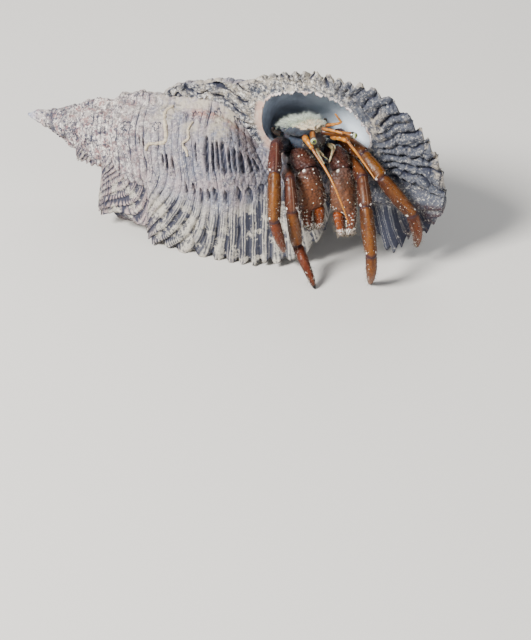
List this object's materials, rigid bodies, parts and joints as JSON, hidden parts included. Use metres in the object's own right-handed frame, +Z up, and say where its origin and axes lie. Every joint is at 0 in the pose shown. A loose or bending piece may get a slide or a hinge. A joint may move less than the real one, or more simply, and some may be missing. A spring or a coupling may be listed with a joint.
{
  "type": "hermit crab model",
  "caption": "Still life-size model of a hermit crab leaning out of the fan-edged spiral shell it carries, walking legs and claws hanging over the lip.",
  "frame": {"origin": "on the ground, under the middle of the bounding box", "axes": "+Z up; the shell lies along X with its spire towards -X; the crab leans out of the opening towards -Y"},
  "size_m": [0.0889, 0.0559, 0.0386],
  "materials": {
    "shell": "matt, pale lilac-grey with dark blue-grey grooves and a porcelain lining",
    "shield": "satin olive-cream horn",
    "body": "dark satin skin",
    "soft": "soft moist skin",
    "leg": "smooth glossy orange-brown horn",
    "claw": "granular dark red-brown horn",
    "finger": "orange-red horn",
    "feeler": "bright orange horn",
    "stalk": "orange-brown horn",
    "eye": "glossy dark green with a pale ring",
    "palp": "pale yellow horn"
  },
  "bodies": {
    "root": {"shell": "shell", "shield": "shield", "thorax": "body", "leg_right_rear_merus": "leg", "leg_right_rear_carpus": "leg", "leg_right_rear_propodus": "leg", "leg_right_rear_dactyl": "leg", "leg_right_front_merus": "leg", "leg_right_front_carpus": "leg", "leg_right_front_propodus": "leg", "leg_right_front_dactyl": "leg", "leg_left_rear_merus": "leg", "leg_left_rear_carpus": "leg", "leg_left_rear_propodus": "leg", "leg_left_rear_dactyl": "leg", "leg_left_front_merus": "leg", "leg_left_front_carpus": "leg", "leg_left_front_propodus": "leg", "leg_left_front_dactyl": "leg", "claw_right_merus": "claw", "claw_right_carpus": "claw", "claw_right_palm": "claw", "claw_right_finger": "finger", "claw_left_merus": "claw", "claw_left_carpus": "claw", "claw_left_palm": "claw", "claw_left_finger": "finger", "eyestalk_right": "stalk", "eye_right": "eye", "antennule_right": "feeler", "antenna_stem_right": "feeler", "antenna_right": "feeler", "mouth_leg_right": "palp", "leg_right_fourth": "leg", "eyestalk_left": "stalk", "eye_left": "eye", "antennule_left": "feeler", "antenna_stem_left": "feeler", "antenna_left": "feeler", "mouth_leg_left": "palp", "leg_left_fourth": "leg", "abdomen": "soft", "tail": "leg"}
  },
  "joints": []
}
